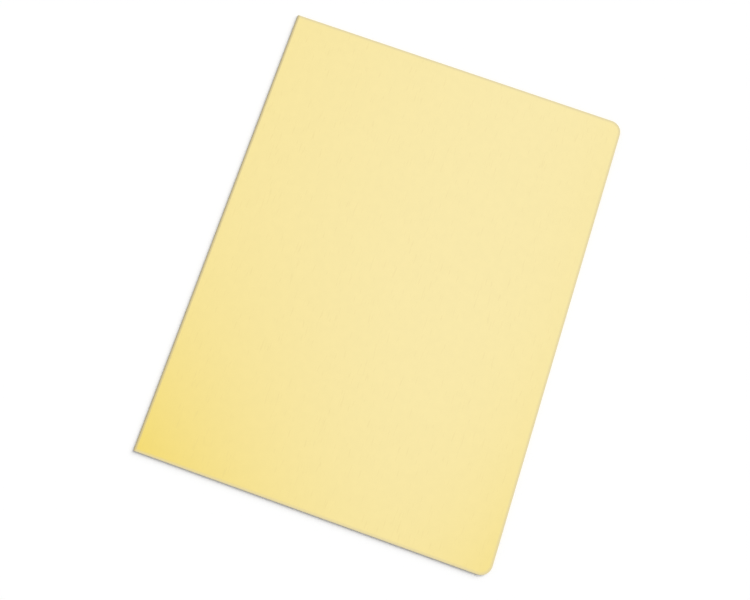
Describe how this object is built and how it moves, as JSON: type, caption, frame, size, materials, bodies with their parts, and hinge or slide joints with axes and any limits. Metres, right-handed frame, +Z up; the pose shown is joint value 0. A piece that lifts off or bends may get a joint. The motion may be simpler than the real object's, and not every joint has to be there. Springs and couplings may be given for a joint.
{
  "type": "manila folder",
  "caption": "Flat rectangular card folder, folded along its long side, with flush covers and rounded free corners; the front cover swings open about the fold.",
  "frame": {"origin": "middle of the closed folder's footprint, on the surface that it lies on", "axes": "+X from the fold to the free edge, +Y along the fold, +Z up through the covers"},
  "size_m": [0.24, 0.32, 0.0015],
  "materials": {
    "manila_card": "matt uncoated manila card, pale buff yellow"
  },
  "bodies": {
    "back": {"back_cover": "manila_card", "crease": "manila_card"},
    "front": {"front_cover": "manila_card"}
  },
  "joints": [
    {"name": "cover_fold", "type": "hinge", "parent": "back", "child": "front", "pos_m": [-0.11925, 0, 0.00075], "axis": [0, -1, 0], "range_deg": [0, 179.9], "deforming": ["crease"]}
  ]
}
